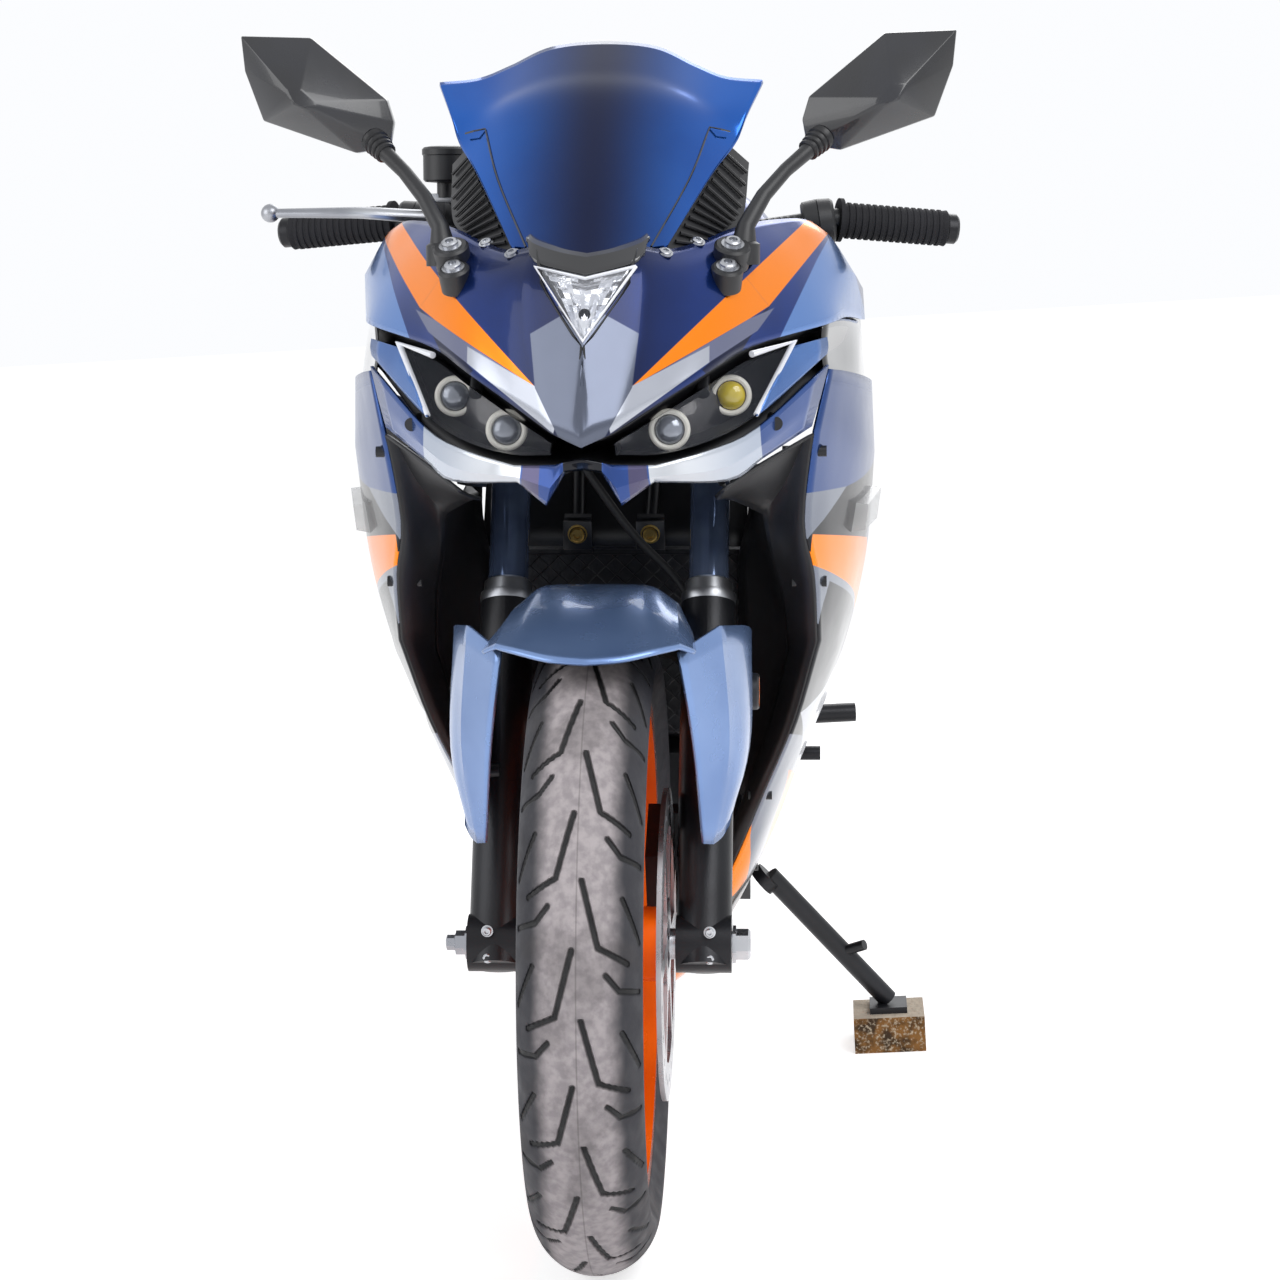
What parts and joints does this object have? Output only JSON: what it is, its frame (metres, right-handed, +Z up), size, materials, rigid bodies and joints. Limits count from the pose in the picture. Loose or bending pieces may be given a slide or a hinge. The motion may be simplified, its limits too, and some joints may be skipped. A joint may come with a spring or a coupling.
{
  "type": "sport motorcycle",
  "caption": "Small faired sport motorcycle leaning on its side stand, with turning wheels, steering, folding stand and fuel lid.",
  "frame": {"origin": "on the ground under the middle of the parked machine's box", "axes": "+X is forward, +Y is to the rider's left, +Z is up"},
  "size_m": [2.0469, 0.6688, 1.1251],
  "materials": {
    "frame_black": "satin",
    "steel": "brushed",
    "engine_grey": "cast, satin",
    "exhaust_steel": "heat-tinted",
    "exhaust_black": "satin",
    "black_plastic": "satin",
    "caliper_black": "satin",
    "alloy": "satin",
    "alloy_black": "satin",
    "blue_paint": "metallic gloss",
    "blue_plastic": "metallic gloss",
    "silver_plastic": "metallic gloss",
    "seat_foam": "matt vinyl",
    "red_lens": "clear gloss",
    "clear_lens": "clear gloss",
    "radiator_black": "satin",
    "stone_block": "rough",
    "chrome_tube": "chrome",
    "steel_black": "satin",
    "grip_rubber": "matt",
    "hose_rubber": "matt",
    "tyre_rubber": "matt",
    "orange_alloy": "gloss"
  },
  "bodies": {
    "chassis": {"main_frame": "frame_black", "seat_rails": "frame_black", "engine": "engine_grey", "exhaust_pipe": "exhaust_steel", "muffler": "exhaust_black", "swingarm": "frame_black", "rear_axle": "steel", "chain": "steel", "rear_caliper": "caliper_black", "rear_shock": "steel", "footrests": "alloy", "fuel_tank": "blue_paint", "rider_seat": "seat_foam", "passenger_seat": "seat_foam", "tail_fairing": "blue_plastic", "tail_light": "red_lens", "rear_fender": "black_plastic", "indicators": "clear_lens", "fairing_stay": "frame_black", "side_fairing_left": "silver_plastic", "side_fairing_right": "silver_plastic", "inner_cowl_left": "black_plastic", "inner_cowl_right": "black_plastic", "belly_pan": "silver_plastic", "radiator": "radiator_black", "nose_cowl": "blue_plastic", "chin_cowl": "silver_plastic", "headlamp_left": "clear_lens", "headlamp_right": "clear_lens", "centre_lamp": "clear_lens", "lamp_brow": "black_plastic", "windscreen": "blue_plastic", "vent_panels": "black_plastic", "dashboard": "black_plastic", "mirror_left": "black_plastic", "mirror_right": "black_plastic", "stand_block": "stone_block"},
    "steering": {"yokes": "alloy_black", "fork_tubes": "chrome_tube", "fork_legs": "alloy_black", "front_axle": "steel", "front_fender": "blue_plastic", "front_caliper": "caliper_black", "handlebars": "steel_black", "hand_controls": "grip_rubber", "brake_lever": "alloy", "brake_hose": "hose_rubber"},
    "front_wheel": {"front_tyre": "tyre_rubber", "front_rim": "orange_alloy", "front_disc": "steel"},
    "rear_wheel": {"rear_tyre": "tyre_rubber", "rear_rim": "orange_alloy", "rear_disc": "steel", "rear_sprocket": "steel"},
    "side_stand": {"side_stand": "frame_black"},
    "fuel_cap": {"fuel_cap": "alloy"}
  },
  "joints": [
    {"name": "steering", "type": "hinge", "parent": "chassis", "child": "steering", "pos_m": [0.52667, -0.01457, 0.63365], "axis": [-0.4226, 0.0474, 0.9051], "range_deg": [-28, 28]},
    {"name": "front_wheel_spin", "type": "hinge", "parent": "steering", "child": "front_wheel", "pos_m": [0.7275, -0.03228, 0.2957], "axis": [0, 0.9986, -0.0523], "continuous": true},
    {"name": "rear_wheel_spin", "type": "hinge", "parent": "chassis", "child": "rear_wheel", "pos_m": [-0.6525, -0.03134, 0.31367], "axis": [0, 0.9986, -0.0523], "continuous": true},
    {"name": "stand_fold", "type": "hinge", "parent": "chassis", "child": "side_stand", "pos_m": [-0.0225, 0.10229, 0.20753], "axis": [0, 0.7796, 0.6263], "range_deg": [0, 90]},
    {"name": "fuel_cap_hinge", "type": "hinge", "parent": "chassis", "child": "fuel_cap", "pos_m": [0.2475, 0.00503, 1.00772], "axis": [0, 0.9986, -0.0523], "range_deg": [0, 95]}
  ]
}
